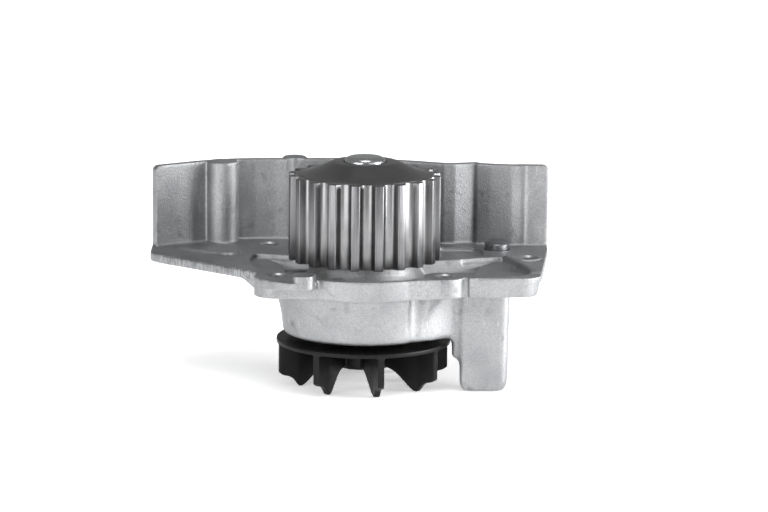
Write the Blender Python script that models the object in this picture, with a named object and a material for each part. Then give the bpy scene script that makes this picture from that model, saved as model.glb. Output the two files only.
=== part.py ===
"""Belt-driven automotive water pump: cast housing with belt guard, toothed pulley, integral shaft bearing,
mechanical seal and plastic impeller.

The frame is the pump's own: +Z runs along the shaft towards the pulley, the origin is the centre of the
shaft's nose face, and every height is therefore negative. -Y is the side with the open front of the flange.
"""

import math

import bmesh
import bpy
from mathutils import Matrix, Vector

MM = 0.001
GAP = 0.3 * MM

# Heights along the shaft, from the nose down.
NOSE = 0.0
HUB_FACE = -2.0 * MM
RIM_TOP = -7.0 * MM
GUARD_TOP = -9.9 * MM
BOSS_TOP = -17.0 * MM
RIM_BOTTOM = -40.0 * MM
DECK_TOP = -42.5 * MM
SHELF = -44.5 * MM
WING_BOTTOM = -46.1 * MM
RECESS_FLOOR = -47.5 * MM
GASKET_FACE = -50.0 * MM
CUP_BOTTOM = -69.0 * MM
DISC_TOP = -71.4 * MM
DISC_BOTTOM = -73.0 * MM
FOOT = -90.0 * MM

# Shaft and integral double-row bearing.
SHAFT_R = 8.0 * MM
SEAT_R = 6.35 * MM
SHAFT_END = -81.0 * MM
BEARING_R = 15.0 * MM
BEARING_BORE = 12.6 * MM
BEARING_TOP = -16.0 * MM
BEARING_BOTTOM = -55.0 * MM
BALL_R = 3.0 * MM
BALL_PITCH_R = 10.25 * MM
BALL_ROWS = {"upper": -26.0 * MM, "lower": -45.0 * MM}
BALLS_PER_ROW = 8

# Toothed pulley: twenty teeth of 9.525 mm pitch.
TEETH = 20
TOOTH_PITCH = 9.525 * MM
PITCH_LINE_DROP = 0.67 * MM
TIP_R = TEETH * TOOTH_PITCH / math.tau - PITCH_LINE_DROP
ROOT_R = TIP_R - 3.1 * MM
RIM_BORE = 22.8 * MM
PULLEY_HUB_R = 13.0 * MM
PULLEY_HUB_BOTTOM = -14.2 * MM
DOME_R = 25.0 * MM
LAND_HALF = 1.7 * MM
FIRST_TOOTH = math.radians(-90.0 + 11.1)

# Housing casting.
BOSS_R = 19.5 * MM
COLUMN_R = 6.2 * MM
PAD_HEIGHT = 0.9 * MM
LEDGE_BOTTOM = SHELF - 1.1 * MM
SEAL_BORE = 18.3 * MM
SEAL_FLANGE_R = 20.9 * MM
WALL = 3.5 * MM
BOLT_HOLE_R = 3.4 * MM
BOLT_BOSS_R = 8.2 * MM
BOLTS = {
    "front_left": Vector((-32.6, -24.4)) * MM,
    "front_right": Vector((31.0, -23.0)) * MM,
    "rear_left": Vector((-37.8, 41.6)) * MM,
    "rear_right": Vector((64.2, 12.8)) * MM,
}
PLUG_AT = Vector((52.8, 34.6)) * MM
PLUG_R = 4.85 * MM

# Impeller.
BLADES = 8
FIRST_BLADE = math.radians(-90.0 + 12.0)
DISC_R = 34.0 * MM
IMPELLER_HUB_R = 12.0 * MM
IMPELLER_HUB_BOTTOM = -82.4 * MM
BUSH_R = 8.6 * MM
BLADE_HALF = 1.25 * MM
BLADE_SWEEP = math.radians(9.0)
SWEEP_FROM_R = 26.0 * MM

# Facets round a full turn, outside and inside.
ROUND = 64
INNER_ROUND = 36


def clear_scene():
    for thing in list(bpy.data.objects):
        bpy.data.objects.remove(thing, do_unlink=True)


def finish_of(name, colour, roughness, metallic):
    """A plain Principled finish."""
    material = bpy.data.materials.new(name)
    material.use_nodes = True
    shader = material.node_tree.nodes["Principled BSDF"]
    shader.inputs["Base Color"].default_value = (*colour, 1.0)
    shader.inputs["Roughness"].default_value = roughness
    shader.inputs["Metallic"].default_value = metallic
    return material


def solid(name, bm, material=None, parent=None):
    """Turns a closed bmesh into an object of the scene, with outward faces and smooth round sides."""
    bmesh.ops.remove_doubles(bm, verts=bm.verts, dist=1e-7)
    bmesh.ops.recalc_face_normals(bm, faces=bm.faces)
    mesh = bpy.data.meshes.new(name)
    bm.to_mesh(mesh)
    bm.free()
    mesh.shade_smooth()
    mesh.set_sharp_from_angle(angle=math.radians(35.0))
    thing = bpy.data.objects.new(name, mesh)
    bpy.context.scene.collection.objects.link(thing)
    if material:
        mesh.materials.append(material)
    if parent:
        thing.parent = parent
    return thing


def arc(centre, radius, start, end, steps):
    """Points of an arc in its own plane, from one angle to the other, both ends included."""
    angles = (math.radians(start + (end - start) * i / steps) for i in range(steps + 1))
    return [(centre[0] + radius * math.cos(a), centre[1] + radius * math.sin(a)) for a in angles]


def turned(profile, steps=INNER_ROUND, closed=True):
    """A round solid from its (radius, height) profile: closed for a ring, open where both ends lie on the axis."""
    bm = bmesh.new()
    verts = [bm.verts.new((r, 0.0, z)) for r, z in profile]
    pairs = list(zip(verts, verts[1:]))
    if closed:
        pairs.append((verts[-1], verts[0]))
    edges = [bm.edges.new(pair) for pair in pairs]
    bmesh.ops.spin(
        bm, geom=verts + edges, cent=(0, 0, 0), axis=(0, 0, 1), angle=math.tau, steps=steps, use_merge=True
    )
    return bm


def prism(outline, bottom, top, taper=1.0, centre=(0.0, 0.0)):
    """A straight or tapered solid on a plan outline; taper is the scale of the bottom about the centre."""
    bm = bmesh.new()
    face = bm.faces.new([bm.verts.new((x, y, top)) for x, y in outline])
    grown = bmesh.ops.extrude_face_region(bm, geom=[face])
    for vert in (item for item in grown["geom"] if isinstance(item, bmesh.types.BMVert)):
        vert.co.x = centre[0] + (vert.co.x - centre[0]) * taper
        vert.co.y = centre[1] + (vert.co.y - centre[1]) * taper
        vert.co.z = bottom
    return bm


def round_bar(centre, radius, bottom, top, bottom_radius=None, steps=32):
    """An upright round bar, straight or tapered."""
    bm = bmesh.new()
    place = Matrix.Translation((centre[0], centre[1], (bottom + top) / 2))
    bmesh.ops.create_cone(
        bm, cap_ends=True, segments=steps, radius1=bottom_radius or radius, radius2=radius, depth=top - bottom,
        matrix=place,
    )
    return bm


def combine(target, tool, operation):
    """Joins a hidden helper solid to the target, or cuts it away."""
    tool.hide_render = True
    tool.display_type = "WIRE"
    modifier = target.modifiers.new(tool.name, "BOOLEAN")
    modifier.operation = operation
    modifier.solver = "EXACT"
    modifier.object = tool


def add(target, name, bm):
    combine(target, solid(name, bm), "UNION")


def cut(target, name, bm):
    combine(target, solid(name, bm), "DIFFERENCE")


def flange_outline():
    """The thick front flange, anticlockwise from its left corner: lug, central arc, bolt boss, notch and lobe."""
    left, right = BOLTS["front_left"], BOLTS["front_right"]
    outline = [(-41.5 * MM, -17.0 * MM)]
    outline += arc((left.x - 0.4 * MM, left.y), 9.2 * MM, 190, 262, 6)
    outline += arc((0, 0), 38.4 * MM, 240, 296, 14)
    outline += arc(right, BOLT_BOSS_R, 262, 318, 5)
    outline += [(38.2 * MM, -26.2 * MM), (39.8 * MM, -26.2 * MM), (40.2 * MM, -27.4 * MM)]
    outline += arc((59.8 * MM, -19.2 * MM), 7.8 * MM, 262, 358, 8)
    outline += [(68.2 * MM, 16.0 * MM), (56.0 * MM, 22.0 * MM), (30.0 * MM, 24.0 * MM), (-24.0 * MM, 30.0 * MM)]
    outline += [(-40.0 * MM, 22.0 * MM)]
    return outline


def guard_line():
    """The inner face of the belt guard in plan, from the left end to the right."""
    points = [(-82.6, 31.9), (-66.5, 43.2), (-56.0, 48.4), (-44.0, 51.2), (-28.0, 52.2), (-12.0, 53.6)]
    points += [(5.0, 52.4), (20.0, 48.6), (31.5, 43.9), (36.0, 43.9), (43.2, 46.1), (49.0, 43.6), (58.5, 41.7)]
    points += [(63.3, 42.3), (73.2, 42.3)]
    return [Vector(point) * MM for point in points]


def offset_line(line, distance):
    """The line moved sideways, to its left, by the wall's thickness."""
    moved = []
    for i, point in enumerate(line):
        before, after = line[max(i - 1, 0)], line[min(i + 1, len(line) - 1)]
        along = (after - before).normalized()
        moved.append(point + Vector((-along.y, along.x)) * distance)
    return moved


def wing_outline():
    """The thin deck that carries the belt guard: left wing, right side and the strip behind the bearing."""
    back = offset_line(guard_line(), WALL)
    outline = [(-42.0 * MM, -17.2 * MM), (-30.0 * MM, -20.0 * MM), (40.0 * MM, -20.0 * MM)]
    outline += [(65.0 * MM, -22.0 * MM), (68.0 * MM, -15.0 * MM), (69.5 * MM, -4.8 * MM), (73.2 * MM, 38.0 * MM)]
    outline += [tuple(point) for point in reversed(back)]
    outline += [(-84.6 * MM, 29.0 * MM), (-84.6 * MM, 21.0 * MM), (-82.4 * MM, 17.2 * MM)]
    return outline


def recess_outline():
    """The deep open recess in front of the bearing boss, which leaves the bolt bosses standing."""
    left = [(-42.5, 19.5), (-37.4, 17.4), (-34.6, 11.6), (-32.6, 4.0), (-31.4, -3.0), (-30.5, -10.5)]
    right = [(42.0, -16.0), (43.8, -9.4), (45.3, 1.4), (46.9, 9.0), (49.3, 13.4), (52.6, 16.6), (41.5, 12.9)]
    right += [(28.2, 8.3), (15.0, 4.0), (-12.0, 12.0), (-29.8, 16.7)]
    outline = [(x * MM, y * MM) for x, y in left]
    outline += arc(BOLTS["front_left"], 7.6 * MM, 76, -4, 6)
    outline += arc((0, 0), 35.6 * MM, 225, 313, 14)
    outline += arc(BOLTS["front_right"], 7.6 * MM, 202, 76, 6)
    return outline + [(x * MM, y * MM) for x, y in right]


def leg_outline():
    outline = arc((39.5 * MM, -12.0 * MM), 3.0 * MM, 180, 270, 4)
    outline += arc((53.4 * MM, -12.0 * MM), 3.0 * MM, 270, 360, 4)
    outline += arc((53.4 * MM, -5.5 * MM), 3.0 * MM, 0, 90, 4)
    outline += arc((42.5 * MM, -5.5 * MM), 3.0 * MM, 90, 180, 4)
    return outline


def make_housing(material):
    """The casting: thin deck, thick flange, cup, leg, belt guard and bearing boss, then its machined bores."""
    housing = solid("housing", prism(wing_outline(), WING_BOTTOM, DECK_TOP), material)
    add(housing, "flange_body", prism(flange_outline(), GASKET_FACE, DECK_TOP))
    cup = [(0.0, -44.5), (36.6, -44.5), (34.6, -52.0), (33.5, -56.0), (32.4, -60.0), (31.4, -69.0), (0.0, -69.0)]
    add(housing, "cup_body", turned([(r * MM, z * MM) for r, z in cup], ROUND, closed=False))
    web = [(16.0, -10.0), (21.4, -22.4), (27.0, -19.2), (34.0, -13.2), (40.0, -12.6), (40.0, -3.5), (16.0, -3.5)]
    add(housing, "leg_web", prism([(x * MM, y * MM) for x, y in web], -68.7 * MM, SHELF))
    groove = round_bar((21.6 * MM, -27.4 * MM), 4.2 * MM, CUP_BOTTOM - MM, GASKET_FACE, 3.6 * MM)
    cut(housing, "cup_groove", groove)
    toe = [(34.2, -12.9), (40.0, -12.6), (40.0, -5.0), (34.8, -5.0)]
    add(housing, "leg_toe", prism([(x * MM, y * MM) for x, y in toe], -77.0 * MM, SHELF))
    add(housing, "leg_body", prism(leg_outline(), FOOT, SHELF, 0.95, (40.0 * MM, -8.0 * MM)))

    inner = guard_line()
    outline = [tuple(point) for point in inner] + [tuple(point) for point in reversed(offset_line(inner, WALL))]
    add(housing, "belt_guard", prism(outline, WING_BOTTOM, GUARD_TOP))
    add(housing, "guard_column", round_bar((-57.0 * MM, 46.2 * MM), COLUMN_R, WING_BOTTOM, GUARD_TOP))
    add(housing, "guard_boss", round_bar((-28.4 * MM, 56.5 * MM), 4.6 * MM, WING_BOTTOM, GUARD_TOP + 0.6 * MM))
    gusset = [(-48.6, -11.4), (-41.6, -17.2), (-38.0, -17.2), (-38.0, 19.0), (-48.6, 19.0)]
    gusset = [(x * MM, y * MM) for x, y in gusset]
    gusset_bottom, gusset_top = GASKET_FACE + 0.4 * MM, WING_BOTTOM + 1.2 * MM
    add(housing, "gusset", prism(gusset, gusset_bottom, gusset_top, 0.38, (-38.0 * MM, -17.2 * MM)))

    left = [(-28.0, 16.4), (-41.6, 19.3), (-43.8, 17.4), (-44.8, 9.0), (-43.8, -1.0), (-40.6, -12.2), (-36.8, -16.4)]
    right = [(38.0, 11.9), (38.0, -14.0), (44.0, -21.8), (61.0, -21.6), (64.4, -16.0), (61.0, 0.6), (58.0, 10.2)]
    for side, outline in (("left", left + [(-28.0, -12.0)]), ("right", right + [(54.9, 17.9)])):
        cut(housing, f"shelf_{side}", prism([(x * MM, y * MM) for x, y in outline], SHELF, DECK_TOP + MM))
    pocket = [(30.0, 36.5), (44.0, 36.5), (47.0, 30.0), (47.0, 20.0), (30.0, 16.0)]
    cut(housing, "deck_pocket", prism([(x * MM, y * MM) for x, y in pocket], -44.0 * MM, DECK_TOP + MM))
    cut(housing, "recess", prism(recess_outline(), RECESS_FLOOR, DECK_TOP + MM, 0.94, (2.0 * MM, -30.0 * MM)))

    add(housing, "bearing_boss", round_bar((0, 0), BOSS_R, -52.0 * MM, BOSS_TOP, BOSS_R + MM, ROUND))
    ledge = [(-41.2, -20.0), (-41.0, -29.0), (-39.4, -33.0), (-33.4, -38.0), (-27.0, -41.8), (-20.6, -41.8)]
    ledge += [(-18.0, -36.5), (-17.0, -28.0)]
    add(housing, "lug_ledge", prism([(x * MM, y * MM) for x, y in ledge], LEDGE_BOTTOM, DECK_TOP))
    block = [(-27.0, -32.6), (-27.0, -41.4), (-19.6, -41.4), (-18.0, -32.6)]
    add(housing, "cast_block", prism([(x * MM, y * MM) for x, y in block], LEDGE_BOTTOM, DECK_TOP + 2.7 * MM))
    ridge = [(55.6, 17.0), (58.4, 16.8), (62.4, 5.4), (65.0, -4.0), (67.2, -12.0), (67.2, -18.0), (64.4, -17.6)]
    ridge += [(63.6, -11.0), (61.6, -3.0), (58.6, 6.2)]
    add(housing, "rim_ridge", prism([(x * MM, y * MM) for x, y in ridge], SHELF, DECK_TOP + PAD_HEIGHT))
    add(housing, "spot_pad", round_bar((-10.6 * MM, -32.2 * MM), 4.2 * MM, -48.0 * MM, DECK_TOP - 0.1 * MM))
    add(housing, "blank_pad", round_bar((-53.5 * MM, 20.2 * MM), 5.2 * MM, SHELF, DECK_TOP + PAD_HEIGHT))
    plate = [(-74.2, 33.6), (-73.0, 26.2), (-58.6, 17.2), (-54.0, 24.0), (-62.5, 38.0)]
    add(housing, "blank_plate", prism([(x * MM, y * MM) for x, y in plate], SHELF, DECK_TOP + 0.4 * MM))
    add(housing, "pad_rear_left", round_bar(BOLTS["rear_left"], 6.0 * MM, GASKET_FACE, SHELF))
    add(housing, "pad_rear_right", round_bar(BOLTS["rear_right"], 5.6 * MM, GASKET_FACE, DECK_TOP + 0.8 * MM))

    cut(housing, "bearing_seat", round_bar((0, 0), BEARING_R + GAP, BEARING_BOTTOM - GAP, BOSS_TOP + MM, None, ROUND))
    cut(housing, "drain_chamber", round_bar((0, 0), 13.2 * MM, -60.0 * MM, BEARING_BOTTOM + MM, None, ROUND))
    seal_top, flange_seat, below = -57.9 * MM, -68.0 * MM, CUP_BOTTOM - 2 * MM
    seal_seat = [(0.0, seal_top), (SEAL_BORE, seal_top), (SEAL_BORE, flange_seat), (SEAL_FLANGE_R, flange_seat)]
    seal_seat += [(SEAL_FLANGE_R, below), (0.0, below)]
    cut(housing, "seal_seat", turned(seal_seat, ROUND, closed=False))
    core = [(22.6, -59.0), (27.6, -59.0), (27.2, -71.0), (22.6, -71.0)]
    cut(housing, "core_pocket", turned([(r * MM, z * MM) for r, z in core], 48))
    drain = Matrix.Translation((18.5 * MM, -8.0 * MM, -52.0 * MM)) @ Matrix.Rotation(math.radians(-40), 4, "Y")
    bm = bmesh.new()
    bmesh.ops.create_cone(
        bm, cap_ends=True, segments=16, radius1=1.75 * MM, radius2=1.75 * MM, depth=17.0 * MM,
        matrix=Matrix.Rotation(math.radians(-30), 4, "Z") @ drain,
    )
    cut(housing, "weep_drilling", bm)
    for name, place in BOLTS.items():
        cut(housing, f"hole_{name}", round_bar(place, BOLT_HOLE_R, GASKET_FACE - MM, DECK_TOP + 2 * MM, None, 24))
    cut(housing, "plug_seat", round_bar(PLUG_AT, PLUG_R + GAP, WING_BOTTOM - MM, DECK_TOP + MM, None, 24))
    return housing


def race(z, side):
    """The half-round groove of one ball row: side is +1 in the outer ring and -1 in the shaft."""
    groove = BALL_R + GAP
    reach = (BEARING_BORE - BALL_PITCH_R) if side > 0 else (BALL_PITCH_R - SHAFT_R)
    half = math.degrees(math.acos(reach / groove))
    if side > 0:
        return arc((BALL_PITCH_R, z), groove, -half, half, 4)
    return arc((BALL_PITCH_R, z), groove, 180 - half, 180 + half, 4)


def make_bearing(steel, rubber, brass, trains):
    upper, lower = BALL_ROWS["upper"], BALL_ROWS["lower"]
    bore = [(BEARING_BORE, BEARING_BOTTOM)] + race(lower, 1) + race(upper, 1) + [(BEARING_BORE, BEARING_TOP)]
    solid("bearing_outer_ring", turned(bore + [(BEARING_R, BEARING_TOP), (BEARING_R, BEARING_BOTTOM)]), steel)
    for name, z in (("upper", BEARING_TOP - 1.9 * MM), ("lower", BEARING_BOTTOM + 0.6 * MM)):
        washer = [(SHAFT_R + GAP, z), (BEARING_BORE - GAP, z)]
        washer += [(BEARING_BORE - GAP, z + 1.3 * MM), (SHAFT_R + GAP, z + 1.3 * MM)]
        solid(f"bearing_seal_{name}", turned(washer), rubber)

    ball_mesh = None
    for row, z in BALL_ROWS.items():
        crown = [(9.2, -4.2), (11.5, -4.2), (11.5, 1.4), (9.2, 1.4)]
        cage = solid(f"ball_cage_{row}", turned([(r * MM, z + h * MM) for r, h in crown]), brass, trains[row])
        for i in range(BALLS_PER_ROW):
            angle = math.tau * i / BALLS_PER_ROW
            place = Vector((math.cos(angle), math.sin(angle), 0)) * BALL_PITCH_R + Vector((0, 0, z))
            pocket = bmesh.new()
            bmesh.ops.create_icosphere(pocket, subdivisions=2, radius=BALL_R + GAP, matrix=Matrix.Translation(place))
            cut(cage, f"ball_pocket_{row}_{i + 1}", pocket)
            if ball_mesh is None:
                bm = bmesh.new()
                bmesh.ops.create_icosphere(bm, subdivisions=2, radius=BALL_R)
                ball = solid(f"ball_{row}_{i + 1}", bm, steel)
                ball_mesh = ball.data
            else:
                ball = bpy.data.objects.new(f"ball_{row}_{i + 1}", ball_mesh)
                bpy.context.scene.collection.objects.link(ball)
            ball.location = place
            ball.parent = trains[row]


def make_shaft(material, rotor):
    chamfer = 1.2 * MM
    profile = [(0.0, NOSE), (SHAFT_R - chamfer, NOSE), (SHAFT_R, NOSE - chamfer * 0.6)]
    profile += race(BALL_ROWS["upper"], -1) + race(BALL_ROWS["lower"], -1)
    profile += [(SHAFT_R, -65.6 * MM), (SEAT_R, -66.4 * MM), (SEAT_R, SHAFT_END + 0.6 * MM)]
    profile += [(SEAT_R - 0.6 * MM, SHAFT_END), (0.0, SHAFT_END)]
    return solid("shaft", turned(profile, closed=False), material, rotor)


def tooth_outline():
    """The toothed rim in plan: flat lands joined by round-bottomed grooves."""
    outline = []
    half_land = LAND_HALF / TIP_R
    step = math.tau / TEETH
    depth = TIP_R - ROOT_R
    for i in range(TEETH):
        centre = FIRST_TOOTH + step * i
        outline += [(TIP_R, centre - half_land), (TIP_R, centre), (TIP_R, centre + half_land)]
        start, end = centre + half_land, centre + step - half_land
        for k in range(1, 8):
            part = k / 8
            fall = min(1.0, 1.35 * math.sin(math.pi * part) ** 0.5)
            outline.append((TIP_R - depth * fall, start + (end - start) * part))
    return [(r * math.cos(a), r * math.sin(a)) for r, a in outline]


def make_pulley(material, rotor):
    pulley = solid("pulley", prism(tooth_outline(), RIM_BOTTOM, RIM_TOP), material, rotor)
    dome = [(0.0, HUB_FACE), (PULLEY_HUB_R, HUB_FACE), (DOME_R, RIM_TOP + 0.2 * MM), (DOME_R, RIM_TOP - 2.0 * MM)]
    dome += [(0.0, RIM_TOP - 2.0 * MM)]
    add(pulley, "pulley_dome", turned(dome, ROUND, closed=False))
    inside = [(PULLEY_HUB_R, RIM_BOTTOM - MM), (PULLEY_HUB_R, -6.6 * MM), (RIM_BORE, -11.4 * MM)]
    inside += [(RIM_BORE, RIM_BOTTOM - MM)]
    cut(pulley, "pulley_hollow", turned(inside, ROUND))
    cut(pulley, "pulley_hub_end", round_bar((0, 0), PULLEY_HUB_R + MM, RIM_BOTTOM - MM, PULLEY_HUB_BOTTOM, None, 48))
    cut(pulley, "pulley_bore", round_bar((0, 0), SHAFT_R + GAP, RIM_BOTTOM, HUB_FACE + MM, None, 48))
    return pulley


def make_seal(case_steel, rubber, spring_steel, carbon, ceramic, rotor):
    """The mechanical seal: fixed case, bellows, spring and carbon face; turning ring in its rubber boot."""
    case = [(11.4, -58.2), (18.0, -58.2), (18.0, -68.3), (20.6, -68.3), (20.6, -69.1), (17.2, -69.1), (17.2, -59.0)]
    case += [(11.4, -59.0)]
    solid("seal_case", turned([(r * MM, z * MM) for r, z in case]), case_steel)
    bellows = [(9.3, -59.3), (16.6, -59.3), (16.6, -60.2), (11.2, -60.2), (12.6, -61.8), (11.2, -63.4), (9.3, -63.4)]
    bellows += [(10.9, -61.8), (9.3, -60.4)]
    solid("seal_bellows", turned([(r * MM, z * MM) for r, z in bellows]), rubber)
    face = [(9.3, -63.7), (13.4, -63.7), (13.4, -66.0), (9.3, -66.0)]
    solid("seal_carbon_face", turned([(r * MM, z * MM) for r, z in face]), carbon)
    ring = [(8.6, -66.3), (14.2, -66.3), (14.2, -69.0), (8.6, -69.0)]
    solid("seal_mating_ring", turned([(r * MM, z * MM) for r, z in ring]), ceramic, rotor)
    boot = [(6.7, -69.3), (14.5, -69.3), (14.5, -66.8), (15.4, -66.8), (15.4, -71.1), (6.7, -71.1)]
    solid("seal_ring_boot", turned([(r * MM, z * MM) for r, z in boot]), rubber, rotor)

    turns, steps_per_turn, coil_r, wire_r = 3.5, 16, 14.9 * MM, 0.55 * MM
    start, rise = -65.4 * MM, 4.3 * MM
    curve = bpy.data.curves.new("seal_spring", "CURVE")
    curve.dimensions = "3D"
    curve.bevel_depth = wire_r
    curve.bevel_resolution = 1
    curve.use_fill_caps = True
    spline = curve.splines.new("POLY")
    count = int(turns * steps_per_turn)
    spline.points.add(count)
    for i, point in enumerate(spline.points):
        angle = math.tau * i / steps_per_turn
        point.co = (coil_r * math.cos(angle), coil_r * math.sin(angle), start + rise * i / count, 1.0)
    curve.materials.append(spring_steel)
    spring = bpy.data.objects.new("seal_spring", curve)
    bpy.context.scene.collection.objects.link(spring)


def blade():
    """One blade along +X, built of upright strips: its foot falls in a wave to the tip, then rises to the hub."""
    foot = [(33.6, -84.4), (31.6, -85.6), (29.4, -86.1), (27.6, -87.4), (26.2, -89.4), (25.2, -90.0)]
    foot += [(24.0, -89.7), (22.4, -88.6), (19.4, -85.6), (16.4, -83.0), (13.4, -81.7), (10.8, -81.4)]
    root = (DISC_TOP + DISC_BOTTOM) / 2
    bm = bmesh.new()
    columns = [
        (bm.verts.new((r * MM, -BLADE_HALF, root)), bm.verts.new((r * MM, -BLADE_HALF, z * MM))) for r, z in foot
    ]
    strips = [bm.faces.new((a[0], b[0], b[1], a[1])) for a, b in zip(columns, columns[1:])]
    grown = bmesh.ops.extrude_face_region(bm, geom=strips)
    moved = [item for item in grown["geom"] if isinstance(item, bmesh.types.BMVert)]
    bmesh.ops.translate(bm, verts=moved, vec=(0, 2 * BLADE_HALF, 0))
    for vert in bm.verts:
        inward = max(0.0, (SWEEP_FROM_R - vert.co.x) / (SWEEP_FROM_R - IMPELLER_HUB_R))
        vert.co.rotate(Matrix.Rotation(-BLADE_SWEEP * inward**1.4, 3, "Z"))
    return bm


def make_impeller(plastic, steel, rotor):
    body = [(BUSH_R + GAP, DISC_TOP), (DISC_R, DISC_TOP), (DISC_R, DISC_BOTTOM), (IMPELLER_HUB_R, DISC_BOTTOM)]
    body += [(IMPELLER_HUB_R - 0.6 * MM, IMPELLER_HUB_BOTTOM), (BUSH_R + GAP, IMPELLER_HUB_BOTTOM)]
    impeller = solid("impeller", turned(body, ROUND), plastic, rotor)
    for i in range(BLADES):
        bm = blade()
        turn = Matrix.Rotation(FIRST_BLADE + math.tau * i / BLADES, 4, "Z")
        bmesh.ops.transform(bm, matrix=turn, verts=bm.verts)
        add(impeller, f"blade_{i + 1}", bm)
    bush = [(SEAT_R + GAP, DISC_TOP), (BUSH_R, DISC_TOP), (BUSH_R, -81.6 * MM), (SEAT_R + GAP, -81.6 * MM)]
    solid("impeller_bush", turned(bush), steel, rotor)
    return impeller


def main():
    clear_scene()
    cast = finish_of("cast_aluminium", (0.55, 0.55, 0.54), 0.55, 0.9)
    steel = finish_of("bearing_steel", (0.50, 0.50, 0.51), 0.25, 1.0)
    sintered = finish_of("sintered_steel", (0.30, 0.30, 0.30), 0.38, 0.95)
    plastic = finish_of("moulded_plastic", (0.012, 0.012, 0.013), 0.45, 0.0)
    rubber = finish_of("black_rubber", (0.02, 0.02, 0.02), 0.7, 0.0)
    brass = finish_of("cage_polyamide", (0.35, 0.22, 0.08), 0.5, 0.0)
    case_steel = finish_of("seal_case_brass", (0.72, 0.53, 0.25), 0.35, 1.0)
    carbon = finish_of("seal_carbon", (0.03, 0.03, 0.032), 0.4, 0.0)
    ceramic = finish_of("seal_ceramic", (0.8, 0.78, 0.72), 0.3, 0.0)

    rotor = bpy.data.objects.new("rotor_axis", None)
    trains = {row: bpy.data.objects.new(f"train_axis_{row}", None) for row in BALL_ROWS}
    for empty in (rotor, *trains.values()):
        bpy.context.scene.collection.objects.link(empty)

    make_housing(cast)
    plug = round_bar(PLUG_AT, PLUG_R, WING_BOTTOM, DECK_TOP + 2.7 * MM, None, 32)
    solid("gallery_plug", plug, steel)
    make_bearing(steel, rubber, brass, trains)
    make_shaft(steel, rotor)
    slinger = [(8.3, -56.0), (11.6, -56.0), (11.9, -57.3), (8.3, -57.3)]
    solid("slinger", turned([(r * MM, z * MM) for r, z in slinger]), rubber, rotor)
    make_pulley(sintered, rotor)
    make_seal(case_steel, rubber, steel, carbon, ceramic, rotor)
    make_impeller(plastic, steel, rotor)


main()
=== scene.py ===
import math

import bmesh
import bpy
from mathutils import Matrix, Vector


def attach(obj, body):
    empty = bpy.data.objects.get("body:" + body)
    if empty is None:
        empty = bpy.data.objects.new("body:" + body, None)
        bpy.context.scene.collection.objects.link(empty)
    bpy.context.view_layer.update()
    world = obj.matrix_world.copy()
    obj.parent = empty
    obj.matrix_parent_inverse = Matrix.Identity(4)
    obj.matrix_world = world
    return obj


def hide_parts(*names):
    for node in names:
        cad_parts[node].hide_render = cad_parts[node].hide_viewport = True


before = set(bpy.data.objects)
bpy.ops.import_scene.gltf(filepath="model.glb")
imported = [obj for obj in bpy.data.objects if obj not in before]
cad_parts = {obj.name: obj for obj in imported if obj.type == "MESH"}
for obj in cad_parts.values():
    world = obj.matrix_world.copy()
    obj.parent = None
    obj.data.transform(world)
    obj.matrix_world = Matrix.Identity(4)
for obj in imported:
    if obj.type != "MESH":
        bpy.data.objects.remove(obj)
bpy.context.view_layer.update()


# ---------------------------------------------------------------------------------------------------------
# Housing. A gravity die casting in aluminium: a thin deck with the belt guard standing on it, a thick flange,
# the seal cup and the drain leg below. It leaves the die with soft corners and a sandy skin, and then its
# bores, bolt holes and gasket face are machined, which leaves crisp edges.
# ---------------------------------------------------------------------------------------------------------
MM = 0.001
PER_MM = 1000.0
TURN = math.tau

GUARD_TOP = -9.9
BOSS_TOP = -17.0
DECK_TOP = -42.5
SHELF = -44.5
WING_BOTTOM = -46.1
RECESS_FLOOR = -48.0
GASKET_FACE = -50.0
CUP_BOTTOM = -69.0
FOOT = -90.0
MACHINING_ALLOWANCE = 0.35
GUARD_WALL = 3.5
GUARD_CORNER = 2.2
BOLT_HOLES = {"front_left": (-32.6, -24.4), "front_right": (31.0, -23.0),
              "rear_left": (-37.8, 41.6), "rear_right": (64.2, 12.8)}
BOLT_HOLE_R = 3.4
PLUG_AT = (52.8, 34.6)
PLUG_R = 4.85
SEAL_SEAT = -68.0
WEB_BOTTOM = -77.2
REAR_POCKET_FLOOR = -44.0
RAISED_SEAT = DECK_TOP + 0.8
CAST_SKIN_VOXEL = 0.5
CAST_TRIANGLES = 170000
LOWER_SKIN_VOXEL = 0.8
LOWER_TRIANGLES = 200000


def linear(colour):
    """An sRGB hex colour as linear RGBA."""
    parts = [int(colour[i:i + 2], 16) / 255 for i in (1, 3, 5)]
    return (*[c / 12.92 if c <= 0.04045 else ((c + 0.055) / 1.055) ** 2.4 for c in parts], 1.0)


def arc(centre, radius, start, end, steps=12):
    """Corner points of an arc from one angle to the other, in degrees, both ends included."""
    angles = [math.radians(start + (end - start) * i / steps) for i in range(steps + 1)]
    return [(centre[0] + radius * math.cos(a), centre[1] + radius * math.sin(a)) for a in angles]


def rounded(bm, corners, offset, affect, segments):
    """Rounds some corners or edges of a bmesh over an offset in millimetres."""
    bmesh.ops.bevel(bm, geom=corners, offset=offset * MM, affect=affect, segments=segments, profile=0.5,
                    material=-1)


def new_verts(grown):
    """The vertices that an extrusion made."""
    return [item for item in grown["geom"] if isinstance(item, bmesh.types.BMVert)]


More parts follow.
